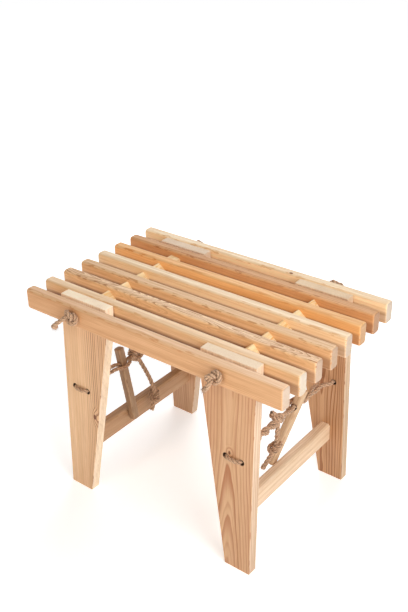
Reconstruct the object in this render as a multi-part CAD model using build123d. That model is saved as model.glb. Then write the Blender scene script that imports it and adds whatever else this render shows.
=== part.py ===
from build123d import *
import os
from math import atan, cos, degrees, pi, radians, sin, tan

# A rope-strung slatted stool.  Eight rounded slats and ten small spacer blocks are threaded on two
# deck ropes.  The ropes also pass through the tops of four tapered legs.  On each side a front and
# a back leg are held apart by a stretcher and pulled together by a doubled tension rope, which is
# wound up by a wooden stick that rests against the stretcher.
#
# Millimetres, +X along the slats to the right, +Y to the back, +Z up.
# Origin: centre of the footprint, on the floor.

# ---- seat deck ------------------------------------------------------------------------------
seat_height = 455.0            # floor to the tops of slats and legs
slat_count = 8
slat_length = 610.0
slat_thickness = 24.0          # front to back
slat_height = 45.0
slat_pitch = 51.3              # from one slat to the next
slat_edge_radius = 7.0         # long edges
slat_end_radius = 4.0          # edges of the end faces

# ---- legs -----------------------------------------------------------------------------------
leg_thickness = 22.0
leg_inner_top = 113.5          # distances from the middle of the stool, along X
leg_outer_top = 234.5
leg_inner_foot = 178.0
leg_outer_foot = 236.0
leg_shoulder_z = 402.0         # the inner edge tapers from here to the foot
leg_lean = 2.6                 # degrees that each leg leans out to the front or the back
leg_edge_radius = 1.5

# ---- ropes ----------------------------------------------------------------------------------
rope_diameter = 10.0
deck_hole_diameter = 12.0
tension_hole_diameter = 12.4
deck_rope_x = 174.0
deck_rope_z = 430.0
tension_rope_x = 192.0         # middle of the doubled rope
tension_rope_z = 251.0
tension_hole_spacing = 35.0    # between the two holes in a leg
strand_spacing = 10.8          # between the doubled rope's strands where they lie side by side
rope_gap = 0.4                 # between rope pieces that turn against each other

# ---- stretchers -----------------------------------------------------------------------------
stretcher_x = 192.0
stretcher_thickness = 24.0
stretcher_height = 44.0
stretcher_base_z = 95.0
stretcher_edge_radius = 6.0
tenon_diameter = 14.0
tenon_length = 9.0

# ---- tension sticks -------------------------------------------------------------------------
stick_size = 18.0              # square section
stick_edge_radius = 5.5
stick_end_radius = 2.0
stick_hole_diameter = 12.0
stick_above_rope = 35.0        # from the rope to the stick's upper end, along the stick
stick_stop_gap = 0.3           # to the stretcher's inner face, where the lower end rests
# side: (where the stick crosses the rope, where its lower end lies), along Y, and the lower end's height
stick_places = {"left": (-50.0, -49.0, 118.0), "right": (38.0, -12.0, 127.0)}
stick_lower_x = 167.0          # middle of the lower end, from the middle of the stool
wrap_reach = 25.0              # half length of the rope that turns with a stick, along Y

# ---- spacers --------------------------------------------------------------------------------
spacer_size = 26.0
spacer_edge_radius = 3.5
# how far each block has turned on its rope, in degrees, from the front to the back
spacer_turns = {"left": (40.0, 52.0, 41.0, 38.0, 8.0), "right": (49.0, 40.0, 36.0, 38.0, 47.0)}

# ---- knots ----------------------------------------------------------------------------------
deck_knot_diameter = 30.0
deck_knot_depth = 21.0
# end and side: how far the knot's middle and the end of its tail lie from the rope, in X and Z
deck_knots = {
    ("front", "left"): ((1.0, 7.0), (-45.0, -30.0)),
    ("front", "right"): ((-3.0, 8.0), (-24.0, -28.0)),
    ("back", "left"): ((-1.0, 7.0), (-22.0, -27.0)),
    ("back", "right"): ((2.0, 10.0), (24.0, -26.0)),
}
splice_knot_diameter = 25.0    # joins the two ends of a tension rope
splice_knot_length = 22.0
stopper_knot_diameter = 21.0   # on the hanging end of a tension rope
# side: middle of the knot that joins the tension rope's ends
splice_knots = {"left": (-190.0, -13.5, 254.0), "right": (189.0, -27.0, 257.0)}
# side: route of the end that hangs from that knot, down to its cut end
hanging_routes = {
    "left": [(-189, -5, 244), (-179, 5, 213), (-166, 11, 180), (-161, 17, 144), (-163, 4, 111)],
    "right": [(191, -27, 245), (191.5, -28, 217), (189, -29, 187), (180, -37, 161), (170, -45, 137)],
}
stopper_knot_points = {"left": 3, "right": 2}     # which point of the route carries the knot

deck_depth = (slat_count - 1) * slat_pitch + slat_thickness
gap = slat_pitch - slat_thickness
sides = {"left": -1, "right": 1}
ends = {"front": -1, "back": 1}


def slat_y(number):
    """Middle of a slat, counted from 1 at the front."""
    return (number - (slat_count + 1) / 2) * slat_pitch


def leg_y(z):
    """Middle of a back leg at a height; a front leg mirrors it."""
    middle_of_gap = slat_y(slat_count) - slat_pitch / 2
    return middle_of_gap + (deck_rope_z - z) * tan(radians(leg_lean))


def bore(x, y, z, diameter, length):
    """A cylinder along Y, to cut a hole with."""
    return Pos(x, y, z) * Rot(90, 0, 0) * Cylinder(diameter / 2, length)


def rounded_bar(width, depth, height, edge_radius, end_radius, long_axis):
    """A bar with rounded long edges and eased end faces."""
    bar = Box(width, depth, height)
    bar = fillet(bar.edges().filter_by(long_axis), edge_radius)
    end_faces = bar.faces().filter_by(GeomType.PLANE).sort_by(long_axis)
    end_edges = end_faces[0].edges() + end_faces[-1].edges()
    return fillet(end_edges, end_radius)


def corner_radii(route):
    """The largest tangent arc at each corner that leaves a tenth of the shorter run straight."""
    points = [Vector(*point) for point in route]
    radii = []
    for before, corner, after in zip(points, points[1:], points[2:]):
        half_turn = radians((corner - before).get_angle(after - corner)) / 2
        shorter = min((corner - before).length, (after - corner).length)
        radii.append(0.45 * shorter / tan(half_turn))
    return radii


def rope_tube(route, radii=None):
    """A rope as a round tube along straight runs joined by tangent arcs."""
    radii = radii or corner_radii(route)
    path = FilletPolyline(*[Vector(*point) for point in route], radius=radii)
    start = Plane(origin=path @ 0, z_dir=path % 0)
    tube = sweep(start * Circle(rope_diameter / 2), path=path)
    expected = pi * rope_diameter ** 2 / 4 * path.length
    print(f"rope {path.length:7.1f} mm, tightest arc {min(radii):6.1f} mm,",
          f"volume {tube.volume / expected:.4f} of section times length")
    return tube


def knot_body(diameter, length):
    """A knot's outer shape about the Y axis: a barrel with well-rounded shoulders."""
    barrel = Rot(90, 0, 0) * Cylinder(diameter / 2, length)
    return fillet(barrel.edges().filter_by(GeomType.CIRCLE), 0.38 * length)


# ---- seat deck ------------------------------------------------------------------------------

def slat(number):
    bar = rounded_bar(slat_length, slat_thickness, slat_height,
                      slat_edge_radius, slat_end_radius, Axis.X)
    bar = Pos(0, slat_y(number), seat_height - slat_height / 2) * bar
    for x in (-deck_rope_x, deck_rope_x):
        bar -= bore(x, slat_y(number), deck_rope_z, deck_hole_diameter, 2 * slat_thickness)
    return bar


def spacer(side, number):
    """A block in the gap behind slat number + 1, turned on the deck rope."""
    block = Box(spacer_size, gap, spacer_size)
    block = fillet(block.edges().filter_by(Axis.Y), spacer_edge_radius)
    block -= bore(0, 0, 0, deck_hole_diameter, 2 * gap)
    x = sides[side] * deck_rope_x
    y = slat_y(number + 1) + slat_pitch / 2
    return Pos(x, y, deck_rope_z) * Rot(0, spacer_turns[side][number - 1], 0) * block


def deck_rope(side):
    return bore(sides[side] * deck_rope_x, 0, deck_rope_z, rope_diameter, deck_depth)


def deck_knot(side, end):
    """The knot that stops a deck rope outside the first or last slat, with its short tail."""
    (knot_x, knot_z), (tail_x, tail_z) = deck_knots[end, side]
    rope_x = sides[side] * deck_rope_x
    y = ends[end] * (deck_depth + deck_knot_depth) / 2
    knot = Pos(rope_x + knot_x, y, deck_rope_z + knot_z) * knot_body(deck_knot_diameter, deck_knot_depth)
    tail = [(rope_x + knot_x, y, deck_rope_z + knot_z - 4),
            (rope_x + 0.55 * tail_x, y, deck_rope_z + 0.3 * tail_z),
            (rope_x + tail_x, y - ends[end] * 1.5, deck_rope_z + tail_z)]
    return knot + rope_tube(tail)


# ---- side frames ----------------------------------------------------------------------------

def leg(side, end):
    """A tapered board that leans out, cut level at the top and at the foot."""
    spare = 20.0
    taper = (leg_inner_foot - leg_inner_top) / leg_shoulder_z
    outline = [
        (leg_inner_top, seat_height + spare),
        (leg_outer_top, seat_height + spare),
        (leg_outer_top, leg_shoulder_z),
        (leg_outer_foot, -spare),
        (leg_inner_foot + spare * taper, -spare),
        (leg_inner_top, leg_shoulder_z),
    ]
    board = extrude(Plane.XZ * make_face(Polyline(*outline, close=True)), leg_thickness / 2, both=True)
    lean = Pos(0, leg_y(deck_rope_z), deck_rope_z) * Rot(leg_lean, 0, 0) * Pos(0, 0, -deck_rope_z)
    board = lean * board
    board &= Pos(200, 0, seat_height / 2) * Box(400, 2000, seat_height)
    board = fillet(board.edges(), leg_edge_radius)
    board -= bore(deck_rope_x, leg_y(deck_rope_z), deck_rope_z, deck_hole_diameter, 4 * leg_thickness)
    for offset in (-tension_hole_spacing / 2, tension_hole_spacing / 2):
        board -= bore(tension_rope_x + offset, leg_y(tension_rope_z), tension_rope_z,
                      tension_hole_diameter, 4 * leg_thickness)
    board -= tenon()
    if ends[end] < 0:
        board = mirror(board, about=Plane.XZ)
    if sides[side] < 0:
        board = mirror(board, about=Plane.YZ)
    return board


def tenon():
    """The round stub on the back end of a right-hand stretcher, down to the bottom of its mortise."""
    z = stretcher_base_z + stretcher_height / 2
    inner_face = leg_y(z) - leg_thickness / 2
    return bore(stretcher_x, inner_face + tenon_length / 2 - leg_thickness / 4, z,
                tenon_diameter, tenon_length + leg_thickness / 2)


def stretcher(side):
    """The bar that holds a front and a back leg apart, fitted to their leaning faces."""
    z = stretcher_base_z + stretcher_height / 2
    bar = Box(stretcher_thickness, 2 * leg_y(0), stretcher_height)
    bar = Pos(stretcher_x, 0, z) * fillet(bar.edges().filter_by(Axis.Y), stretcher_edge_radius)
    clear = Box(200, 200, 600)
    back = Pos(0, leg_y(deck_rope_z), deck_rope_z) * Rot(leg_lean, 0, 0)
    back = back * Pos(stretcher_x, 100 - leg_thickness / 2, -300) * clear
    bar = bar - back - mirror(back, about=Plane.XZ)
    bar = bar + tenon() + mirror(tenon(), about=Plane.XZ)
    return bar if sides[side] > 0 else mirror(bar, about=Plane.YZ)


def strand_ends(side, end):
    """The Y of the end of the fixed tension rope, next to the stick."""
    crossing = stick_places[side][0]
    return crossing + ends[end] * (wrap_reach + rope_gap)


def tension_rope(side, end):
    """Half of the doubled rope: from the stick, through a leg, across its outer face and back."""
    x = tension_rope_x
    near = strand_ends(side, end)
    leg_middle = ends[end] * leg_y(tension_rope_z)
    bend_y = leg_middle - ends[end] * (leg_thickness / 2 + 16)
    merge_y = leg_middle - ends[end] * (leg_thickness / 2 + 52)
    outer_y = leg_middle + ends[end] * (leg_thickness / 2 / cos(radians(leg_lean)) + rope_diameter / 2 + 0.8)
    hole, side_by_side = tension_hole_spacing / 2, strand_spacing / 2
    route = [(x - side_by_side, near), (x - side_by_side, merge_y), (x - hole, bend_y), (x - hole, outer_y),
             (x + hole, outer_y), (x + hole, bend_y), (x + side_by_side, merge_y), (x + side_by_side, near)]
    soft_bend = 60.0
    staple_bend = 8.0
    radii = [soft_bend, soft_bend, staple_bend, staple_bend, soft_bend, soft_bend]
    rope = rope_tube([(sides[side] * px, py, tension_rope_z) for px, py in route], radii)
    return rope


def splice_knot(side):
    """The knot that joins the tension rope's ends, round the doubled rope."""
    x, y, z = splice_knots[side]
    knot = Pos(x, y, z) * knot_body(splice_knot_diameter, splice_knot_length)
    for offset in (-strand_spacing / 2, strand_spacing / 2):
        knot -= bore(sides[side] * tension_rope_x + offset, y, tension_rope_z,
                     rope_diameter + rope_gap, 4 * splice_knot_length)
    knot -= hanging_cord(side)
    return knot.solids().sort_by(SortBy.VOLUME)[-1]


def hanging_cord(side):
    return rope_tube(hanging_routes[side])


def stopper_knot(side):
    """The knot tied in the hanging end, which runs through it."""
    x, y, z = hanging_routes[side][stopper_knot_points[side]]
    knot = Pos(x, y, z) * Rot(90, 0, 0) * knot_body(stopper_knot_diameter, 19.0)
    return knot - hanging_cord(side)


# ---- tension sticks -------------------------------------------------------------------------

def stick_line(side):
    """Where a stick crosses the tension rope, and the direction of its upper end."""
    crossing_y, lower_y, lower_z = stick_places[side]
    crossing = Vector(sides[side] * tension_rope_x, crossing_y, tension_rope_z)
    lower = Vector(sides[side] * stick_lower_x, lower_y, lower_z)
    return crossing, lower, (crossing - lower).normalized()


def stick(side):
    """A bar through the doubled rope: one strand goes through its hole, the other round it."""
    crossing, lower, upward = stick_line(side)
    upper = crossing + upward * stick_above_rope
    length = (upper - lower).length
    bar = rounded_bar(stick_size, stick_size, length, stick_edge_radius, stick_end_radius, Axis.Z)
    across = Vector(1, 0, 0) - upward * upward.X
    bar = Plane(origin=(lower + upper) / 2, x_dir=across, z_dir=upward) * bar
    return bar - bore(crossing.X, crossing.Y, crossing.Z, stick_hole_diameter, 4 * stick_size)


def stick_rope(side):
    """The two strands next to the stick, which turn with it."""
    crossing, _, upward = stick_line(side)
    inward = -sides[side]
    beside = stick_size / 2 / cos(atan(upward.X / upward.Z)) + rope_diameter / 2 + 1.6
    start, straight_end, waist, hole_reach = strand_spacing / 2, wrap_reach - 5, 7.5, 13.0
    through = [(-start, -wrap_reach), (-start, -straight_end), (0, -hole_reach)]
    around = [(start, -wrap_reach), (start, -straight_end), (beside, -waist)]
    tubes = []
    for half in (through, around):
        strand = half + [(px, -py) for px, py in reversed(half)]
        route = [(crossing.X + inward * px, crossing.Y + py, crossing.Z) for px, py in strand]
        tubes.append(rope_tube(route))
    return Compound(children=tubes)


# ---- one STEP file for each piece -----------------------------------------------------------

def all_parts():
    parts = {}
    for number in range(1, slat_count + 1):
        parts[f"slat_{number}"] = slat(number)
    for side in sides:
        for number in range(1, len(spacer_turns[side]) + 1):
            parts[f"spacer_{side}_{number}"] = spacer(side, number)
        parts[f"deck_rope_{side}"] = deck_rope(side)
        for end in ends:
            parts[f"deck_knot_{end}_{side}"] = deck_knot(side, end)
            parts[f"leg_{end}_{side}"] = leg(side, end)
            parts[f"tension_rope_{end}_{side}"] = tension_rope(side, end)
        parts[f"stretcher_{side}"] = stretcher(side)
        parts[f"splice_knot_{side}"] = splice_knot(side)
        parts[f"hanging_cord_{side}"] = hanging_cord(side)
        parts[f"stopper_knot_{side}"] = stopper_knot(side)
        parts[f"stick_{side}"] = stick(side)
        parts[f"stick_rope_{side}"] = stick_rope(side)
    return parts


os.makedirs("parts", exist_ok=True)
for name, shape in all_parts().items():
    shape.label = name
    export_step(shape, f"parts/{name}.step")
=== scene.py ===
import math
import random

import bmesh
import bpy
import numpy as np
from mathutils import Matrix, Vector


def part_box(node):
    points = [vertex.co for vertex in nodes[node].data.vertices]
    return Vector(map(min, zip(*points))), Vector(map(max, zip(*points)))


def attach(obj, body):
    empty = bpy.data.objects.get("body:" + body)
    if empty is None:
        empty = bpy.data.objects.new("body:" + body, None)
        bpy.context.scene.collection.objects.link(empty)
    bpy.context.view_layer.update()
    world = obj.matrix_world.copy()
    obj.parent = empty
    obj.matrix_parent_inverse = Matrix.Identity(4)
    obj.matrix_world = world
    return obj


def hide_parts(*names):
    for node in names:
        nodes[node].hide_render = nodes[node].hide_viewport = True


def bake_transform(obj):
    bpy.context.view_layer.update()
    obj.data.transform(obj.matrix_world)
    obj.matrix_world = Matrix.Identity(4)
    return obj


# A slatted stool strung together on ropes: the wooden pieces are the CAD nodes with solid wood
# materials, and every rope and knot is built here from its twisted strands.
# Metres, +X along the slats, +Y to the back, +Z up.

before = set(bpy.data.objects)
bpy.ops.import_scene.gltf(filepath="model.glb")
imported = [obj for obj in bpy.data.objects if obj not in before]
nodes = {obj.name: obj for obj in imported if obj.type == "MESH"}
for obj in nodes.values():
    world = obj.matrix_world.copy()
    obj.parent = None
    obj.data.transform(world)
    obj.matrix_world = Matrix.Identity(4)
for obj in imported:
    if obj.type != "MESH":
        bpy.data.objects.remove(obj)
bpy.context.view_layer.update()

sides = {"left": -1, "right": 1}                   # which way they lie along X
ends = {"front": -1, "back": 1}                    # and along Y


# ---- camera ---------------------------------------------------------------------------------

def make_camera():
    """Stands off the front right corner and looks down on the seat."""
    azimuth, elevation, roll = math.radians(38.35), math.radians(28.59), math.radians(-1.2)
    distance = 1.7438
    target = Vector((-0.00526, 0, 0.42666))
    back = Vector((math.sin(azimuth) * math.cos(elevation),
                   -math.cos(azimuth) * math.cos(elevation),
                   math.sin(elevation)))
    level = Vector((0, 0, 1)).cross(back).normalized()
    upright = back.cross(level)
    right = level * math.cos(roll) + upright * math.sin(roll)
    up = upright * math.cos(roll) - level * math.sin(roll)
    data = bpy.data.cameras.new("camera")
    data.lens = 52.13
    data.clip_start, data.clip_end = 0.05, 50
    camera = bpy.data.objects.new("camera", data)
    turn = Matrix((right, up, back)).transposed().to_4x4()
    camera.matrix_world = Matrix.Translation(target + back * distance) @ turn
    bpy.context.scene.collection.objects.link(camera)
    bpy.context.scene.camera = camera


# ---- node helpers ---------------------------------------------------------------------------

def srgb(code):
    """A colour written as rrggbb, in linear light."""
    values = [int(code[i:i + 2], 16) / 255 for i in (0, 2, 4)]
    linear = [v / 12.92 if v <= 0.04045 else ((v + 0.055) / 1.055) ** 2.4 for v in values]
    return (*linear, 1.0)


class Graph:
    """Short calls for building one material's nodes."""

    def __init__(self, name):
        self.material = bpy.data.materials.new(name)
        self.material.use_nodes = True
        self.tree = self.material.node_tree
        self.shader = self.tree.nodes["Principled BSDF"]
        self.coordinates = self.tree.nodes.new("ShaderNodeTexCoord")

    def feed(self, socket, value):
        if isinstance(value, bpy.types.NodeSocket):
            self.tree.links.new(value, socket)
        else:
            socket.default_value = value

    def math(self, operation, *values, clamp=False):
        node = self.tree.nodes.new("ShaderNodeMath")
        node.operation, node.use_clamp = operation, clamp
        for socket, value in zip(node.inputs, values):
            self.feed(socket, value)
        return node.outputs[0]

    def vector(self, operation, *values, output=0):
        node = self.tree.nodes.new("ShaderNodeVectorMath")
        node.operation = operation
        for socket, value in zip(node.inputs, values):
            self.feed(socket, value)
        return node.outputs[output]

    def combine(self, x, y, z):
        node = self.tree.nodes.new("ShaderNodeCombineXYZ")
        for socket, value in zip(node.inputs, (x, y, z)):
            self.feed(socket, value)
        return node.outputs[0]

    def noise(self, vector, scale, detail=2.0, roughness=0.5):
        node = self.tree.nodes.new("ShaderNodeTexNoise")
        self.feed(node.inputs["Vector"], vector)
        node.inputs["Scale"].default_value = scale
        node.inputs["Detail"].default_value = detail
        node.inputs["Roughness"].default_value = roughness
        return node.outputs["Fac"]

    def step(self, value, low, high, to_low=0.0, to_high=1.0):
        """Rises smoothly from to_low to to_high as value goes from low to high."""
        node = self.tree.nodes.new("ShaderNodeMapRange")
        node.interpolation_type = "SMOOTHSTEP"
        for name, number in (("Value", value), ("From Min", low), ("From Max", high),
                             ("To Min", to_low), ("To Max", to_high)):
            self.feed(node.inputs[name], number)
        return node.outputs["Result"]

    def mix(self, factor, a, b):
        node = self.tree.nodes.new("ShaderNodeMix")
        node.data_type = "RGBA"
        self.feed(node.inputs["Factor"], factor)
        colour_inputs = [socket for socket in node.inputs if socket.type == "RGBA"]
        self.feed(colour_inputs[0], a)
        self.feed(colour_inputs[1], b)
        return next(socket for socket in node.outputs if socket.type == "RGBA")

    def bump(self, height, strength, distance):
        node = self.tree.nodes.new("ShaderNodeBump")
        node.inputs["Strength"].default_value = strength
        node.inputs["Distance"].default_value = distance
        self.feed(node.inputs["Height"], height)
        self.feed(self.shader.inputs["Normal"], node.outputs["Normal"])


# ---- wood -----------------------------------------------------------------------------------

knot_hearts = "8a5230", "5f3520"
# pale colour of the rounded edges: partly wear, partly painted highlight
edge_wear_and_highlight = "f2d3a8"
# painted shade inside the rope holes, over the bore and its rim
hole_shade = "4a2f1b"
hole_shade_radii = 0.0061, 0.0069        # the wood's own colour comes back between these radii
# painted shade and painted light on the slat sides that look into a gap between slats
gap_fade = -0.002, 0.0075        # heights on a slat's side, from its middle
gap_lights = 0.36, 1.2           # how light the side is below and above them
slat_end_fade = 0.265, 0.300     # distances from a slat's middle between which that eases off
slat_end_share = 0.55            # what is left of it beyond them
fibre_contrast, patch_contrast = 0.10, 0.25
no_tint = (1, 1, 1)


def ring_radius(g, along, side, out, pith, warp, ripples, taper, flame_top, seed):
    """Distance from the pith line, made uneven along the board."""
    slow = g.combine(g.math("MULTIPLY", g.math("ADD", along, seed), 0.16), side, out)
    wander = g.math("SUBTRACT", g.noise(slow, 26, 1.5), 0.5)
    ripple = g.math("SUBTRACT", g.noise(slow, 95, 2.0), 0.5)
    to_side = g.math("SUBTRACT", side, pith[0])
    to_face = g.math("SUBTRACT", out, pith[1])
    radius = g.math("SQRT", g.math("ADD", g.math("MULTIPLY", to_side, to_side),
                                   g.math("MULTIPLY", to_face, to_face)))
    radius = g.math("MULTIPLY_ADD", wander, warp * 2, radius)
    radius = g.math("MULTIPLY_ADD", ripple, warp * ripples, radius)
    return g.math("MULTIPLY_ADD", g.math("MINIMUM", along, flame_top), taper, radius)


def swirls(g, along, side, radius, knots):
    """The radius pushed outwards round each knot, and a mask of the knots' hearts."""
    mask = None
    for knot_along, knot_side, knot_radius in knots:
        da = g.math("MULTIPLY", g.math("SUBTRACT", along, knot_along), 0.62)
        ds = g.math("SUBTRACT", side, knot_side)
        away = g.math("SQRT", g.math("ADD", g.math("MULTIPLY", da, da), g.math("MULTIPLY", ds, ds)))
        swirl = g.step(away, knot_radius * 0.5, knot_radius * 4.2, 1.0, 0.0)
        radius = g.math("MULTIPLY_ADD", swirl, knot_radius * 2.2, radius)
        heart = g.step(away, knot_radius * 0.7, knot_radius * 1.1, 1.0, 0.0)
        mask = heart if mask is None else g.math("MAXIMUM", mask, heart)
    return radius, mask


def late_wood(g, radius, spacing, seed):
    """How dark each ring is: one broad line and three fine ones, and a strength of its own."""
    rings = g.math("DIVIDE", radius, spacing)
    chance = g.tree.nodes.new("ShaderNodeTexWhiteNoise")
    chance.noise_dimensions = "1D"
    g.feed(chance.inputs["W"], g.math("ADD", g.math("FLOOR", rings), seed * 37))
    strength = g.math("MULTIPLY_ADD", chance.outputs["Value"], 0.55, 0.45)
    within = g.math("FRACT", rings)
    broad = g.math("MULTIPLY", g.step(within, 0.35, 0.92), g.step(within, 0.94, 1.0, 1.0, 0.0))
    within = g.math("FRACT", g.math("MULTIPLY", rings, 3.0))
    fine = g.math("MULTIPLY", g.step(within, 0.3, 0.8), g.step(within, 0.85, 1.0, 1.0, 0.0))
    return g.math("MULTIPLY", g.math("MAXIMUM", broad, g.math("MULTIPLY", fine, 0.38)), strength)


def painted_gap_shade(g, along, side, out, on_side, gaps):
    """Painted shade that deepens down the side faces that look into a gap, with painted light near
    their tops, eased off near the slats' ends.
    """
    in_gap = g.math("MULTIPLY", g.step(on_side, 0.3, 0.8), g.step(side, -0.001, 0.001, *gaps))
    from_middle = g.math("ABSOLUTE", along)
    in_gap = g.math("MULTIPLY", in_gap, g.step(from_middle, *slat_end_fade, 1.0, slat_end_share))
    light = g.step(out, *gap_fade, *gap_lights)
    light = g.math("MULTIPLY_ADD", g.math("SUBTRACT", light, 1.0), in_gap, 1.0)
    return g.combine(g.math("POWER", light, 0.8), light, light)


def wood(name, origin, grain, across, *, early, late, pith, spacing, contrast, seed, warp=0.006,
         ripples=0.22, taper=0.0, flame_top=1.0, faint_above=1.0, plain=None, side_contrast=0.6,
         banding=0.15, knots=(), holes=(), gaps=None, tones=(no_tint, no_tint, no_tint)):
    """Solid wood: growth rings round a pith line, cut by whatever face the piece shows.

    origin is the middle of the board and grain its length. Its main faces lie along grain and
    across, and its side faces look out along across. pith is where the tree's middle lies from
    the board's: along across, and out of the main face. The rings narrow into flames below
    flame_top. Above faint_above they are faint, and the end grain's tint covers all faces. plain
    is where across the board they are faint and where they are strong. Each of the knots is
    (along, across, radius). Each of the holes is drilled along Y at (x, z), and has painted shade
    inside it. gaps says for the two side faces whether they look into a gap between boards, 0 or
    1; such a side gets painted shade that deepens downwards, and painted light near its top. tones
    tint the main faces, the side faces and the end grain, partly as the wood's own colour and
    partly as painted light."""
    g = Graph(name)
    length_axis = Vector(grain).normalized()
    side_axis = Vector(across).normalized()
    face_axis = length_axis.cross(side_axis)
    place = g.vector("SUBTRACT", g.coordinates.outputs["Object"], Vector(origin))
    along, side, out = (g.vector("DOT_PRODUCT", place, axis, output="Value")
                        for axis in (length_axis, side_axis, face_axis))
    shifted = g.math("ADD", along, seed)

    def fibrous(along_scale, across_scale, detail, roughness=0.5):
        """Noise drawn out along the grain."""
        return g.noise(g.combine(g.math("MULTIPLY", shifted, along_scale),
                                 g.math("MULTIPLY", side, across_scale),
                                 g.math("MULTIPLY", out, across_scale)), 1.0, detail, roughness)

    facing = g.coordinates.outputs["Normal"]
    on_side, on_end = (g.math("POWER", g.vector("DOT_PRODUCT", facing, axis, output="Value"), 2)
                       for axis in (side_axis, length_axis))

    radius = ring_radius(g, along, side, out, pith, warp, ripples, taper, flame_top, seed)
    radius, knot_mask = swirls(g, along, side, radius, knots)
    dark = late_wood(g, radius, spacing, seed)
    dark = g.math("MULTIPLY", dark, g.step(on_end, 0.3, 0.8, contrast, contrast * 0.3))
    dark = g.math("MULTIPLY", dark, g.step(on_side, 0.3, 0.8, 1.0, side_contrast))
    dark = g.math("MULTIPLY", dark, g.step(along, faint_above - 0.02, faint_above, 1.0, 0.25))
    if plain is not None:
        dark = g.math("MULTIPLY", dark, g.step(side, *plain, 0.15, 1.0))
    colour = g.mix(dark, srgb(early), srgb(late))

    patches = fibrous(3.0, 22, 2.0)
    colour = g.mix(g.step(patches, 0.35, 0.75, 0.0, patch_contrast), colour, srgb(late))
    fibres = fibrous(28, 1100, 3.0, 0.6)
    band_light = g.step(fibrous(2.2, 130, 3.0, 0.6), 0.30, 0.70, 1.0 - banding, 1.0 + banding)
    band_light = g.math("MULTIPLY_ADD", g.math("SUBTRACT", band_light, 1.0),
                        g.step(on_end, 0.2, 0.7, 1.0, 0.25), 1.0)
    fibre_light = g.step(fibres, 0.25, 0.75, 1.0 - fibre_contrast, 1.0 + fibre_contrast)
    light = g.math("MULTIPLY", fibre_light, band_light)
    colour = g.vector("MULTIPLY", colour, g.combine(g.math("POWER", light, 0.65), light,
                                                    g.math("POWER", light, 1.5)))
    if knot_mask is not None:
        heart_rings = g.math("FRACT", g.math("MULTIPLY", radius, 900))
        heart = g.mix(g.math("MULTIPLY", heart_rings, 0.5), *map(srgb, knot_hearts))
        colour = g.mix(knot_mask, colour, heart)

    # face tints, partly the wood's own colour and partly painted light: lit faces paler and cooler,
    # shaded faces darker and warmer
    main_tone, side_tone, end_tone = ((*tone, 1) for tone in tones)
    tone = g.mix(g.step(on_side, 0.2, 0.8), main_tone, side_tone)
    near_top = g.step(along, faint_above, faint_above + 0.012)
    tone = g.mix(g.math("MAXIMUM", g.step(on_end, 0.2, 0.8), near_top), tone, end_tone)
    colour = g.vector("MULTIPLY", colour, tone)
    # painted shade deeper down the sides that face a gap, painted light near their tops
    if gaps is not None:
        colour = g.vector("MULTIPLY", colour, painted_gap_shade(g, along, side, out, on_side, gaps))

    # pale on the rounded edges in patches: partly rubbed wear, partly a painted highlight along the
    # edges
    rounded = g.math("MULTIPLY", on_side, g.math("SUBTRACT", 1.0, on_side))
    wear_and_highlight = g.math("MULTIPLY", g.step(rounded, 0.08, 0.25), g.step(patches, 0.4, 0.7, 0.05, 0.3))
    colour = g.mix(wear_and_highlight, colour, srgb(edge_wear_and_highlight))
    splinters = g.step(fibrous(45, 260, 2.0), 0.54, 0.60)
    splinters = g.math("MULTIPLY", splinters, g.step(rounded, 0.02, 0.10))
    splinters = g.math("MULTIPLY", splinters, g.step(patches, 0.42, 0.55, 0.0, 0.8))
    colour = g.mix(splinters, colour, srgb(late))
    # painted shade inside each rope hole
    seen_along_y = g.vector("MULTIPLY", g.coordinates.outputs["Object"], Vector((1, 0, 1)))
    for hole_x, hole_z in holes:
        away = g.vector("DISTANCE", seen_along_y, Vector((hole_x, 0, hole_z)), output="Value")
        colour = g.mix(g.step(away, *hole_shade_radii), srgb(hole_shade), colour)

    g.feed(g.shader.inputs["Base Color"], colour)
    g.feed(g.shader.inputs["Roughness"], g.step(fibres, 0.2, 0.8, 0.62, 0.48))
    g.shader.inputs["IOR"].default_value = 1.42
    g.bump(g.math("MULTIPLY_ADD", dark, 0.5, fibres), 0.25, 0.0004)
    return g.material


def paint(node, material):
    """Gives a CAD node its finish."""
    obj = nodes[node]
    obj.data.materials.clear()
    obj.data.materials.append(material)


def middle(node):
    low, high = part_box(node)
    return (low + high) / 2


# tints of the main faces, the side faces and the end grain; a slat's main faces are its top and
# bottom, a leg's are its two broad ones. They are partly the wood's own colour, with the end grain
# paler, and partly painted light: faces lit by the top and right lamps paler and cooler, the others
# darker and warmer, slats 1 and 2 (outer_tones) lit brighter than the rest, and the ends of the
# other slats in painted shade
slat_tones = ((1.09, 1.2, 1.31), (0.97, 0.92, 0.81), (0.66, 0.72, 0.86))
outer_tones = ((1.12, 1.24, 1.36), (0.92, 0.87, 0.76), (0.80, 1.02, 1.36))
bar_tones = ((1.04, 1.07, 1.1), (0.96, 0.93, 0.9), (1.0, 1.0, 1.0))
leg_tones = ((0.98, 1.02, 1.11), (1.1, 1.42, 1.94), (1.29, 1.74, 2.48))

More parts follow.
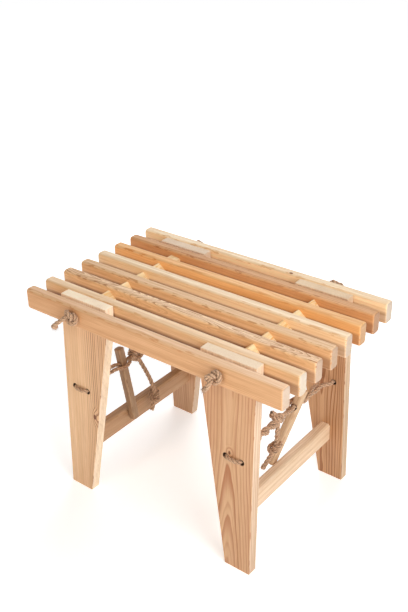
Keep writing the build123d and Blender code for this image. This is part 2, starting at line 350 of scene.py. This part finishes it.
slat_woods = {
    1: dict(early="e0b188", late="c98a57", pith=(0.002, -0.075), spacing=0.0032, warp=0.005,
            contrast=0.55, seed=1.3),
    2: dict(early="e9c199", late="d9a26b", pith=(0.01, -0.06), spacing=0.0024, warp=0.004,
            contrast=0.45, seed=2.1),
    3: dict(early="f1c79c", late="ae6f42", pith=(0.001, 0.012), spacing=0.0017, warp=0.018,
            ripples=0.08, taper=0.02, contrast=0.95, side_contrast=0.3, seed=3.59),
    4: dict(early="e2b68b", late="c78e5c", pith=(0.03, -0.05), spacing=0.0022, warp=0.005,
            contrast=0.55, seed=4.2),
    5: dict(early="f0cfaa", late="dfad7b", pith=(-0.02, -0.07), spacing=0.0026, warp=0.004,
            contrast=0.4, seed=5.9),
    6: dict(early="ecb47a", late="d4853f", pith=(0.02, -0.05), spacing=0.0025, warp=0.006,
            contrast=0.6, seed=6.4),
    7: dict(early="d59c6b", late="b07042", pith=(-0.03, -0.06), spacing=0.0023, warp=0.004,
            contrast=0.6, seed=7.7),
    8: dict(early="f3d3ad", late="dfaa75", pith=(0.01, -0.08), spacing=0.0028, warp=0.005,
            contrast=0.5, seed=8.8, knots=((0.085, -0.006, 0.003),)),
}

leg_woods = {
    ("front", "left"): dict(early="edbe8d", late="8f5028", pith=(-0.050, -0.028), spacing=0.0050,
                            warp=0.005, plain=(-0.014, 0.012), contrast=1.0,
                            side_contrast=0.15, seed=11.2, knots=((-0.032, 0.017, 0.0042),)),
    ("front", "right"): dict(early="d8a97b", late="a96136", pith=(0.005, -0.0468), spacing=0.0052,
                             warp=0.004, taper=0.050, flame_top=0.034, contrast=0.85, seed=12.9,
                             knots=((0.033, 0.008, 0.0028),)),
    ("back", "left"): dict(early="cfa075", late="a56a40", pith=(0.02, -0.06), spacing=0.004,
                           warp=0.006, contrast=0.7, seed=13.4),
    ("back", "right"): dict(early="d09e6e", late="8a4a1e", pith=(0.01, -0.03), spacing=0.0050,
                            warp=0.006, plain=(-0.016, 0.004), contrast=0.95, seed=14.6),
}

# the left stretcher and stick are darker than the right ones: partly their own wood, partly painted
# shade for their place under the seat, away from the right-hand lamp
bar_woods = {
    "stretcher_left": dict(early="c09973", late="a37048", seed=19),
    "stretcher_right": dict(early="e8caa8", late="cc9a71", seed=21),
    "stick_left": dict(early="ab8a6a", late="8c6648", seed=29),
    "stick_right": dict(early="d4b38f", late="b88c66", seed=31),
}

spacer_wood = dict(early="f3d6a6", late="e2ad65")
leg_lean = math.radians(2.6)     # to the front or the back


def finish_wood():
    """Every wooden node gets its own board."""
    along_x, along_y = Vector((1, 0, 0)), Vector((0, 1, 0))
    for number, look in slat_woods.items():
        node = f"slat_{number}"
        tones = outer_tones if number in (1, 2) else slat_tones
        gaps = (float(number > 1), float(number < len(slat_woods)))
        paint(node, wood(f"{node}_wood", middle(node), along_x, along_y, gaps=gaps, tones=tones,
                         **look))
    for (end, side), look in leg_woods.items():
        node = f"leg_{end}_{side}"
        up_the_leg = Vector((0, -ends[end] * math.sin(leg_lean), math.cos(leg_lean)))
        holes = [(sides[side] * tension_rope_x + shift, tension_rope_z)
                 for shift in (-leg_hole_offset, leg_hole_offset)]
        paint(node, wood(f"{node}_wood", middle(node), up_the_leg, along_x, holes=holes,
                         faint_above=0.205, banding=0.09, tones=leg_tones, **look))
    for side in sides:
        bar = f"stretcher_{side}"
        paint(bar, wood(f"{bar}_wood", middle(bar), along_y, along_x, pith=(0.03, -0.05),
                        spacing=0.003, contrast=0.6, tones=bar_tones, **bar_woods[bar]))
        stick = f"stick_{side}"
        low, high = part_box(stick)
        direction = Vector((sides[side] * (high.x - low.x), high.y - low.y, high.z - low.z))
        paint(stick, wood(f"{stick}_wood", middle(stick), direction, direction.cross(along_y),
                          pith=(0.02, -0.04), spacing=0.0025, contrast=0.5, **bar_woods[stick],
                          holes=[(sides[side] * tension_rope_x, tension_rope_z)]))
        for number in range(1, 6):
            block = f"spacer_{side}_{number}"
            paint(block, wood(f"{block}_wood", middle(block), along_y, along_x, pith=(0.02, -0.03),
                              spacing=0.0024, contrast=0.5, seed=40 + 5 * sides[side] + number,
                              **spacer_wood))


# ---- rope geometry --------------------------------------------------------------------------

rope_diameter = 0.0092
pair_diameter = 0.0086           # the doubled ropes, drawn thinner by their tension
cord_diameter = 0.010
lay_length = 3.2                 # rope diameters for one turn of the strands
point_spacing = 0.0012
fibre_root = 0.003               # how deep a loose fibre starts inside the rope's end
fibre_radii = 0.00028, 0.00010   # at its root and its tip


def even(line, spacing):
    """The same line with its points about spacing apart."""
    line = np.asarray(line, float)
    steps = np.linalg.norm(np.diff(line, axis=0), axis=1)
    line = line[np.concatenate(([True], steps > 1e-9))]
    reached = np.concatenate(([0], np.cumsum(np.linalg.norm(np.diff(line, axis=0), axis=1))))
    count = max(2, round(reached[-1] / spacing) + 1)
    wanted = np.linspace(0, reached[-1], count)
    return np.stack([np.interp(wanted, reached, line[:, k]) for k in range(3)], axis=1)


def spline_line(points, resolution=24):
    """Points along the NURBS spline that has these control points."""
    curve = bpy.data.curves.new("route", "CURVE")
    curve.dimensions = "3D"
    spline = curve.splines.new("NURBS")
    spline.points.add(len(points) - 1)
    for control, point in zip(spline.points, points):
        control.co = (*point, 1)
    spline.order_u = 3
    spline.use_endpoint_u = True
    spline.resolution_u = resolution
    holder = bpy.data.objects.new("route", curve)
    bpy.context.scene.collection.objects.link(holder)
    bpy.context.view_layer.update()
    mesh = bpy.data.meshes.new_from_object(holder)
    line = np.array([v.co[:] for v in mesh.vertices])
    bpy.data.objects.remove(holder)
    bpy.data.curves.remove(curve)
    bpy.data.meshes.remove(mesh)
    return even(line, point_spacing)


def unit(v):
    return v / np.linalg.norm(v, axis=-1, keepdims=True)


def frames_along(line):
    """Tangents, and two directions across the line that don't spin round it."""
    tangents = unit(np.gradient(line, axis=0))
    first = np.cross(tangents[0], (0.31, 0.52, 0.79))
    normals = [unit(first)]
    for tangent in tangents[1:]:
        normal = normals[-1] - tangent * np.dot(normals[-1], tangent)
        normals.append(unit(normal))
    normals = np.array(normals)
    return tangents, normals, np.cross(tangents, normals)


class RopeMesh:
    """Collects tubes into one mesh, with a map that runs along and round each of them."""

    def __init__(self):
        self.points, self.depths, self.faces, self.map = [], [], [], []

    def tube(self, line, radius, sides_round=12, lobes=0, lobe_turn=0.0, core=None, girth=1.0):
        """radius is a number, or one for each point. lobes are the yarns that show on the tube.
        A strand keeps how far out each of its points lies from core, in parts of girth."""
        line = np.asarray(line, float)
        _, normals, binormals = frames_along(line)
        radii = np.broadcast_to(np.asarray(radius, float), (len(line),))
        reached = np.concatenate(([0], np.cumsum(np.linalg.norm(np.diff(line, axis=0), axis=1))))
        first = len(self.points)
        for centre, normal, binormal, size, far in zip(line, normals, binormals, radii, reached):
            for k in range(sides_round):
                turn = 2 * math.pi * k / sides_round
                ridge = 1 + 0.06 * math.cos(lobes * (turn - lobe_turn * far)) if lobes else 1
                reach = size * ridge
                self.points.append(centre + reach * (math.cos(turn) * normal
                                                     + math.sin(turn) * binormal))
        if core is None:
            self.depths += [0.5] * (len(line) * sides_round)
        else:
            ring_points = np.array(self.points[first:]).reshape(len(line), sides_round, 3)
            out = np.linalg.norm(ring_points - np.asarray(core)[:, None], axis=2) / girth
            self.depths += out.ravel().tolist()
        for i in range(len(line) - 1):
            for k in range(sides_round):
                a = first + i * sides_round + k
                b = first + i * sides_round + (k + 1) % sides_round
                self.faces.append((a, b, b + sides_round, a + sides_round))
                u0, u1 = reached[i] / cord_diameter, reached[i + 1] / cord_diameter
                v0, v1 = k / sides_round, (k + 1) / sides_round
                self.map.append(((u0, v0), (u0, v1), (u1, v1), (u1, v0)))
        last = first + (len(line) - 1) * sides_round
        self.faces.append(tuple(range(first + sides_round - 1, first - 1, -1)))
        self.map.append(((0, 0),) * sides_round)
        self.faces.append(tuple(range(last, last + sides_round)))
        self.map.append(((reached[-1] / cord_diameter, 0),) * sides_round)

    def laid(self, line, diameter, splay_end=0.0):
        """A three-strand rope along the line. Its end opens over a length of splay_end."""
        line = even(line, point_spacing)
        _, normals, binormals = frames_along(line)
        reached = np.arange(len(line)) * np.linalg.norm(line[1] - line[0])
        opening = np.zeros(len(line))
        if splay_end:
            opening = np.clip(1 - (reached[-1] - reached) / splay_end, 0, 1) ** 2
        offset = diameter * 0.235 * (1 + 0.5 * opening)
        for strand in range(3):
            angle = 2 * math.pi * (reached / (lay_length * diameter) + strand / 3)
            centre = line + offset[:, None] * (np.cos(angle)[:, None] * normals
                                               + np.sin(angle)[:, None] * binormals)
            self.tube(centre, diameter * 0.265, lobes=4, lobe_turn=260.0, core=line, girth=diameter)

    def fray(self, tip, direction, diameter, seed, length, count=36):
        """Loose fibres at a cut end."""
        chance = random.Random(seed)
        direction = unit(np.asarray(direction, float))
        across = unit(np.cross(direction, (0.2, 0.9, 0.4)))
        third = np.cross(direction, across)
        for _ in range(count):
            turn = chance.uniform(0, 2 * math.pi)
            out = chance.uniform(0.05, 0.48) * diameter
            spread = math.cos(turn) * across + math.sin(turn) * third
            reach = chance.uniform(0.35, 1.0) * length
            lean = spread * chance.uniform(0.1, 0.7)
            root = np.asarray(tip) + spread * out - direction * fibre_root
            curl = np.array([chance.uniform(-1, 1) for _ in range(3)]) * 0.25
            steps = np.linspace(0, 1, 5)[:, None]
            line = (root + (direction * (reach + fibre_root)) * steps
                    + (lean + curl) * reach * steps ** 2)
            self.tube(line, np.linspace(*fibre_radii, 5), sides_round=4)

    def make(self, name, material):
        mesh = bpy.data.meshes.new(name)
        mesh.from_pydata([tuple(p) for p in self.points], [], self.faces)
        layer = mesh.uv_layers.new(name="rope_map")
        corners = [value for face in self.map for corner in face for value in corner]
        layer.data.foreach_set("uv", corners)
        depth = mesh.attributes.new("depth", "FLOAT", "POINT")
        depth.data.foreach_set("value", self.depths)
        mesh.polygons.foreach_set("use_smooth", [True] * len(mesh.polygons))
        mesh.materials.append(material)
        mesh.validate()
        obj = bpy.data.objects.new(name, mesh)
        bpy.context.scene.collection.objects.link(obj)
        return obj


def rope_material(name, light, dark, shade):
    """Flax rope: twisted yarns with hairy, uneven colour, painted shade in the grooves between the
    yarns and between the strands, and a painted highlight on the strands' outer crowns.
    """
    g = Graph(name)
    rope_map = g.tree.nodes.new("ShaderNodeUVMap")
    rope_map.uv_map = "rope_map"
    split = g.tree.nodes.new("ShaderNodeSeparateXYZ")
    g.feed(split.inputs[0], rope_map.outputs["UV"])
    far, turn = split.outputs[0], split.outputs[1]
    slant = g.math("ADD", g.math("MULTIPLY", turn, 4.0), g.math("MULTIPLY", far, 1.65))
    wave = g.math("SINE", g.math("MULTIPLY", slant, 2 * math.pi))
    yarn = g.math("MULTIPLY_ADD", wave, 0.5, 0.5)
    hairs = g.noise(g.combine(g.math("MULTIPLY", slant, 9.0), g.math("MULTIPLY", far, 2.0),
                              g.math("MULTIPLY", turn, 7.0)), 1.0, 4.0, 0.65)
    spots = g.noise(g.coordinates.outputs["Object"], 90, 3.0)
    colour = g.mix(g.step(hairs, 0.3, 0.72), srgb(dark), srgb(light))
    colour = g.mix(g.step(spots, 0.45, 0.75, 0.0, 0.5), colour, srgb(shade))
    # painted shade in the yarns' grooves and on the strands' sides that face the rope's middle, and
    # a painted highlight on their outer crowns
    groove_shade = g.step(yarn, 0.0, 0.35, 0.80, 1.0)
    depth = g.tree.nodes.new("ShaderNodeAttribute")
    depth.attribute_name = "depth"
    between = g.step(depth.outputs["Fac"], 0.27, 0.46, 0.24, 1.17)
    shading = g.math("MULTIPLY", groove_shade, between)
    colour = g.vector("MULTIPLY", colour, g.combine(shading, shading, shading))
    g.feed(g.shader.inputs["Base Color"], colour)
    g.shader.inputs["Roughness"].default_value = 0.9
    g.shader.inputs["Specular IOR Level"].default_value = 0.25
    g.shader.inputs["Sheen Weight"].default_value = 0.15
    g.bump(g.math("MULTIPLY_ADD", hairs, 0.6, yarn), 0.6, 0.0005)
    return g.material


# ---- knots ----------------------------------------------------------------------------------

def overhand(start, leaving, core, finish, arriving, diameter, slack, turn, wall=None):
    """Centre line of a rope tied in an overhand knot between two held ends, pulled tight.

    leaving and arriving are the rope's directions there, core is where the knot lies, slack is
    the length in diameters that it takes up, turn is its turn round the rope, and wall is a point
    and a direction that the rope stays in front of. The knot starts out large and loose, and
    shrinks to its size while its points pull on their neighbours and push others away."""
    start, core, finish = (np.asarray(place, float) for place in (start, core, finish))
    leaving, arriving = unit(np.asarray(leaving, float)), unit(np.asarray(arriving, float))
    spacing = diameter * 0.28
    t = np.linspace(-1.95, 1.95, 500)
    loops = np.stack([(t ** 3 - 3 * t) / 2, (t ** 4 - 4 * t ** 2) / 4 + 0.5,
                      (t ** 5 - 10 * t) / 9.5], axis=1)
    sideways = unit(np.cross(leaving, (0.3, 0.4, 0.87)))
    third = np.cross(leaving, sideways)
    c, s = math.cos(turn), math.sin(turn)
    basis = np.stack([c * sideways + s * third, c * third - s * sideways, leaving])
    looseness = 1.5                  # size at the start, in parts of the pulled knot's
    size = slack * diameter * looseness / np.linalg.norm(np.diff(loops, axis=0), axis=1).sum()
    knot = core + (loops * size) @ basis
    before = np.linalg.norm(core - start) * looseness
    after = np.linalg.norm(finish - core) * looseness
    line = np.vstack([knot[:1] + unit(knot[0] - knot[8]) * before, knot,
                      knot[-1:] + unit(knot[-1] - knot[-9]) * after])
    total = np.linalg.norm(np.diff(line, axis=0), axis=1).sum()
    line = even(line, spacing * looseness)
    loose = total / (len(line) - 1)
    held = {0: start, 1: start + leaving * spacing, len(line) - 2: finish - arriving * spacing,
            len(line) - 1: finish}
    origin = {i: line[i].copy() for i in held}
    middle_run = slice(int(len(line) * before / total), int(len(line) * (1 - after / total)))
    apart = np.abs(np.subtract.outer(np.arange(len(line)), np.arange(len(line)))) > 6
    stages, passes, shrinking = 240, 8, 0.7
    pull, straighten, push_away, recentre = 0.45, 0.12, 0.30, 0.5
    for stage in range(stages):
        done = min(1.0, stage / (stages * shrinking))
        rest = loose + (spacing - loose) * done
        for _ in range(passes):
            gaps = line[1:] - line[:-1]
            lengths = np.linalg.norm(gaps, axis=1, keepdims=True)
            shift = gaps * (pull * (lengths - rest) / np.maximum(lengths, 1e-9))
            line[:-1] += shift
            line[1:] -= shift
            between = (line[:-2] + line[2:]) / 2
            line[1:-1] += (between - line[1:-1]) * straighten
            spread = line[:, None] - line[None]
            distance = np.linalg.norm(spread, axis=2) + 1e-9
            close = apart & (distance < diameter)
            push = np.where(close, (diameter - distance) / distance * push_away, 0)
            line += (spread * push[:, :, None]).sum(axis=1)
            line[middle_run] += (core - line[middle_run].mean(axis=0)) * recentre
            if wall is not None and done > 0.3:
                depth = (line - wall[0]) @ wall[1]
                line[2:] += np.maximum(0, diameter / 2 - depth)[2:, None] * wall[1]
            for i, place in held.items():
                line[i] = origin[i] + (place - origin[i]) * done
    for _ in range(3):
        line[1:-1] = (line[:-2] + 2 * line[1:-1] + line[2:]) / 4
    return smooth(line)


def smooth(line):
    """Catmull-Rom through the points, evenly spaced."""
    p = np.vstack([2 * line[0] - line[1], line, 2 * line[-1] - line[-2]])
    t = np.linspace(0, 1, 5)[:-1, None]
    runs = []
    for a, b, c, d in zip(p, p[1:], p[2:], p[3:]):
        runs.append(0.5 * (2 * b + (c - a) * t + (2 * a - 5 * b + 4 * c - d) * t ** 2
                           + (3 * b - a - 3 * c + d) * t ** 3))
    return even(np.vstack(runs + [line[-1:]]), point_spacing)


# ---- ropes of the stool ---------------------------------------------------------------------

deck_rope_x, deck_rope_z = 0.174, 0.430
tension_rope_x, tension_rope_z = 0.192, 0.251
crossing_y = {"left": -0.050, "right": 0.038}      # where each stick crosses its rope
wrap_reach = 0.0252              # half of the rope that turns with a stick, along Y

# the CAD cords' routes, from their exits to their cut ends
hanging_routes = {
    "left": [(-0.189, -0.005, 0.244), (-0.179, 0.005, 0.213), (-0.166, 0.011, 0.180),
             (-0.161, 0.017, 0.144), (-0.163, 0.004, 0.111)],
    "right": [(0.191, -0.027, 0.245), (0.1915, -0.028, 0.217), (0.189, -0.029, 0.187),
              (0.180, -0.037, 0.161), (0.170, -0.045, 0.137)],
}
stopper_points = {"left": 3, "right": 2}           # which point of the route carries the knot
stopper_diameter = cord_diameter * 0.9             # the cord where it is pulled into that knot
stopper_reach = 0.011                              # half length of the knot


def hanging_cords(material):
    """The free end of each tension rope, with the stopper knot tied in it."""
    for side, route in hanging_routes.items():
        line = spline_line(route)
        knot_place = np.asarray(route[stopper_points[side]])
        near = int(np.argmin(np.linalg.norm(line - knot_place, axis=1)))
        along = unit(line[min(near + 4, len(line) - 1)] - line[near - 4])
        reach = along * stopper_reach
        knot_line = overhand(line[near] - reach, along, line[near], line[near] + reach, along,
                             stopper_diameter, slack=11.0, turn=0.8 + sides[side])
        knot = RopeMesh()
        knot.laid(knot_line, stopper_diameter)
        knot = knot.make(f"stopper_knot_{side}_rope", material)
        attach(knot, f"{side}_frame")
        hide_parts(f"stopper_knot_{side}")
        cord = RopeMesh()
        cord.laid(line, cord_diameter, splay_end=0.008)
        cord.fray(line[-1], line[-1] - line[-4], cord_diameter, seed=50 + sides[side], length=0.003)
        cord = cord.make(f"hanging_cord_{side}_rope", material)
        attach(cord, f"{side}_frame")
        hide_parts(f"hanging_cord_{side}")


def deck_ropes(material):
    """The straight ropes that the slats and the legs are threaded on."""
    deck_low, deck_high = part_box("slat_1")[0].y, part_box("slat_8")[1].y
    for side in sides:
        x = sides[side] * deck_rope_x
        rope = RopeMesh()
        rope.laid([(x, deck_low, deck_rope_z), (x, 0, deck_rope_z), (x, deck_high, deck_rope_z)],
                  rope_diameter)
        rope = rope.make(f"deck_rope_{side}_rope", material)
        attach(rope, "deck")
        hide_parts(f"deck_rope_{side}")


# end and side: middle of the knot and end of its tail, from the rope, in X and Z, its turn round
# the rope in radians, and its slack
deck_knots = {
    ("front", "left"): ((0.001, 0.007), (-0.045, -0.030), 0.3, 12.5),
    ("front", "right"): ((-0.003, 0.003), (-0.024, -0.030), 1.4, 11.3),
    ("back", "left"): ((-0.001, 0.007), (-0.022, -0.027), 2.2, 12.5),
    ("back", "right"): ((0.002, 0.010), (0.024, -0.026), 0.9, 12.5),
}
knot_start_depth = 0.004         # the knot's rope starts this deep in the slat
knot_stand_off, tail_stand_off = 0.010, 0.009      # from the slat's face


def deck_knot_ropes(material):
    """The overhand knots that hold the deck together, against the outer slats."""
    for (end, side), (knot_place, tail_place, turn, slack) in deck_knots.items():
        face_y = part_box("slat_1")[0].y if end == "front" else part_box("slat_8")[1].y
        face = np.array((sides[side] * deck_rope_x, face_y, deck_rope_z))
        outward = np.array((0, ends[end], 0), float)
        start = face - outward * knot_start_depth
        tail_end = face + (tail_place[0], ends[end] * tail_stand_off, tail_place[1])
        core = face + (knot_place[0], ends[end] * knot_stand_off, knot_place[1])
        line = overhand(start, outward, core, tail_end, unit(tail_end - core), rope_diameter,
                        slack=slack, turn=turn, wall=(face, outward))
        rope = RopeMesh()
        rope.laid(line, rope_diameter, splay_end=0.016)
        rope.fray(line[-1], line[-1] - line[-4], rope_diameter, count=110, length=0.010,
                  seed=60 + 10 * ends[end] + sides[side])
        rope = rope.make(f"deck_knot_{end}_{side}_rope", material)
        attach(rope, "deck")
        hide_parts(f"deck_knot_{end}_{side}")


pair_offset = 0.0050             # each strand from the middle of the doubled rope, at the stick
pair_tight = 0.0043              # the same where the pair is twisted hard
leg_hole_offset = 0.0175         # each hole in a leg from the middle of the doubled rope
hole_offset = 0.0156             # the strands lie against the inner rims of their holes
crossing_slant = math.radians(30)                  # of the pair where it meets the stick
leg_thickness = 0.022
leg_y_at_deck_rope = 0.1539      # middle of a back leg
parting, clear_of_leg = 0.042, 0.014               # from the leg's middle, along Y
# end and side: half turns of the twist from the stick to where the pair parts
half_turns = {("front", "left"): 1, ("back", "left"): 4,
              ("front", "right"): 4, ("back", "right"): 1}


def ease(t):
    """From 0 to 1, starting and ending gently."""
    t = np.clip(t, 0, 1)
    return t * t * (3 - 2 * t)


def tension_ropes(material):
    """Each half of a doubled rope: twisted from the stick to near the leg, then through the leg."""
    for (end, side), turns in half_turns.items():
        inward, out = -sides[side], ends[end]
        x, z = sides[side] * tension_rope_x, tension_rope_z
        leg_middle = leg_y_at_deck_rope + (deck_rope_z - z) * math.tan(leg_lean)
        near = out * crossing_y[side] + wrap_reach
        merge, inner = leg_middle - parting, leg_middle - clear_of_leg
        strands = []
        for strand in (0, 1):
            points = []
            for w in np.linspace(0, 1, 60):
                y = near + (inner - near) * w
                unwound = ease((merge - y) / (merge - near))
                angle = unwound * (math.pi * turns + out * crossing_slant) + math.pi * strand
                tight = pair_tight + (pair_offset - pair_tight) * max(0, 1 - 6 * w)
                width = tight + (hole_offset - tight) * ease((y - merge) / (inner - merge))
                points.append((x + inward * width * math.cos(angle), out * y,
                               z + width * math.sin(angle)))
            strands.append(points)
        # out through one hole, across the leg's outer face a little sunk in, and back
        outer = leg_middle + leg_thickness / 2 / math.cos(leg_lean) + pair_diameter / 2 - 0.0004
        through = [(x + inward * hole_offset, out * (leg_middle + 0.006), z),
                   (x + inward * (hole_offset - 0.0004), out * (outer - 0.0026), z),
                   (x + inward * (hole_offset - 0.0075), out * (outer + 0.0003), z)]
        back_through = [(2 * x - px, py, pz) for px, py, pz in reversed(through)]
        line = spline_line(strands[0] + through + back_through + strands[1][::-1], 6)
        rope = RopeMesh()
        rope.laid(line, pair_diameter)
        rope = rope.make(f"tension_rope_{end}_{side}_rope", material)
        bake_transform(rope)
        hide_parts(f"tension_rope_{end}_{side}")


def stick_ropes(material):
    """The strands beside each stick: one goes through its hole and one round its inner side."""
    for side in sides:
        inward, y = -sides[side], crossing_y[side]
        x, z = sides[side] * tension_rope_x, tension_rope_z
        across = pair_offset * math.cos(crossing_slant)
        rise = pair_offset * math.sin(crossing_slant)
        # from where the stick crosses the rope, the first number towards the stool's middle
        around = [(across, -wrap_reach, -rise), (across * 1.1, -0.021, -rise),
                  (0.0158, -0.0085, -0.003), (0.0158, 0.0085, 0.003),
                  (across * 1.1, 0.021, rise), (across, wrap_reach, rise)]
        through = [(-across, -wrap_reach, rise), (-across, -0.021, rise), (0, -0.012, 0.001),
                   (0, 0.012, -0.001), (-across, 0.021, -rise), (-across, wrap_reach, -rise)]
        rope = RopeMesh()
        for route in (around, through):
            line = spline_line([(x + inward * px, y + py, z + pz) for px, py, pz in route])
            rope.laid(line, pair_diameter)
        rope = rope.make(f"stick_rope_{side}_rope", material)
        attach(rope, f"{side}_stick")
        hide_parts(f"stick_rope_{side}")


# middle of each knot, and the tip of the short cut end that stands up from it
splice_places = {"left": (-0.190, -0.0100, 0.2545), "right": (0.189, -0.027, 0.257)}
stub_ends = {"left": (-0.196, -0.020, 0.268), "right": (0.185, -0.040, 0.274)}


def splice_knots(material):
    """Where the two ends of a tension rope are tied together round it."""
    for side, place in splice_places.items():
        place = np.asarray(place)
        route = hanging_routes[side]
        leave = unit(np.asarray(route[1]) - np.asarray(route[0]))
        # the knot's rope comes out of the doubled rope behind it
        start = place + np.array((-sides[side] * 0.004, 0.011, -0.002))
        line = overhand(start, (0, -1, 0), place, np.asarray(route[0]) + leave * 0.006, leave,
                        rope_diameter, slack=11.5, turn=0.4 - sides[side])
        rope = RopeMesh()
        rope.laid(line, rope_diameter)
        stub = spline_line([tuple(place), tuple((place + stub_ends[side]) / 2 + 0.002),
                            stub_ends[side]])
        rope.laid(stub, rope_diameter, splay_end=0.004)
        rope.fray(stub[-1], stub[-1] - stub[-4], rope_diameter, seed=80 + sides[side], length=0.002)
        rope = rope.make(f"splice_knot_{side}_rope", material)
        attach(rope, f"{side}_frame")
        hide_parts(f"splice_knot_{side}")


# ---- studio ---------------------------------------------------------------------------------

light_aim = Vector((0, 0, 0.3))
floor_reach = 14.0
dome_radius = 19.0


def area_light(name, direction, distance, size, power, colour):
    """A round soft light that points at the stool's middle."""
    data = bpy.data.lights.new(name, "AREA")
    data.shape, data.size = "DISK", size
    data.energy, data.color = power, colour
    light = bpy.data.objects.new(name, data)
    direction = Vector(direction).normalized()
    light.location = light_aim + direction * distance
    light.rotation_mode = "QUATERNION"
    light.rotation_quaternion = direction.to_track_quat("Z", "Y")
    bpy.context.scene.collection.objects.link(light)


def studio():
    """Four soft lights over a white paper floor that glows a little."""
    scene = bpy.context.scene
    scene.view_settings.view_transform = "Standard"
    world = bpy.data.worlds.new("studio")
    world.use_nodes = True
    sky = world.node_tree.nodes["Background"]
    sky.inputs["Color"].default_value = (1, 1, 1, 1)
    sky.inputs["Strength"].default_value = 0.12
    scene.world = world
    area_light("front_fill", (0.0, -0.9, 0.52), 2.4, 1.2, 13.5, (1.0, 0.88, 0.72))
    area_light("right_key", (1.0, -0.4, 0.6), 2.0, 1.2, 27, (0.98, 1.0, 1.02))
    area_light("top_key", (-0.2, 0.5, 1.0), 2.4, 1.4, 24, (0.96, 1.0, 1.04))
    area_light("back_fill", (-0.6, 0.9, 0.35), 2.6, 1.4, 12, (1.0, 0.97, 0.93))
    mesh = bpy.data.meshes.new("floor")
    corners = [(x * floor_reach, y * floor_reach, 0)
               for x, y in ((-1, -1), (1, -1), (1, 1), (-1, 1))]
    mesh.from_pydata(corners, [], [(0, 1, 2, 3)])
    floor = bpy.data.objects.new("floor", mesh)
    g = Graph("floor_paper")
    place = g.coordinates.outputs["Object"]
    grain = g.noise(place, 40, 2.0)
    g.feed(g.shader.inputs["Base Color"],
           g.mix(grain, (0.93, 0.93, 0.93, 1), (0.96, 0.96, 0.96, 1)))
    g.shader.inputs["Roughness"].default_value = 0.9
    g.shader.inputs["Emission Color"].default_value = (1, 1, 1, 1)
    away = g.vector("LENGTH", place, output="Value")
    g.feed(g.shader.inputs["Emission Strength"], g.step(away, 0.5, 2.0, 0.42, 0.88))
    mesh.materials.append(g.material)
    scene.collection.objects.link(floor)
    backdrop()


def backdrop():
    """A white dome round the studio that only the camera sees."""
    shell = bmesh.new()
    bmesh.ops.create_icosphere(shell, subdivisions=4, radius=dome_radius)
    mesh = bpy.data.meshes.new("backdrop")
    shell.to_mesh(mesh)
    shell.free()
    g = Graph("backdrop_white")
    g.shader.inputs["Base Color"].default_value = (0, 0, 0, 1)
    g.shader.inputs["Specular IOR Level"].default_value = 0.0
    g.shader.inputs["Emission Color"].default_value = (1, 1, 1, 1)
    g.shader.inputs["Emission Strength"].default_value = 1.02
    mesh.materials.append(g.material)
    dome = bpy.data.objects.new("backdrop", mesh)
    bpy.context.scene.collection.objects.link(dome)
    dome.visible_diffuse = dome.visible_glossy = dome.visible_transmission = False
    dome.visible_shadow = False


make_camera()
flax = rope_material("flax_rope", "e8c29e", "724c34", "b88e6f")
hanging_cords(flax)
deck_ropes(flax)
deck_knot_ropes(flax)
tension_ropes(flax)
stick_ropes(flax)
splice_knots(flax)
finish_wood()
studio()
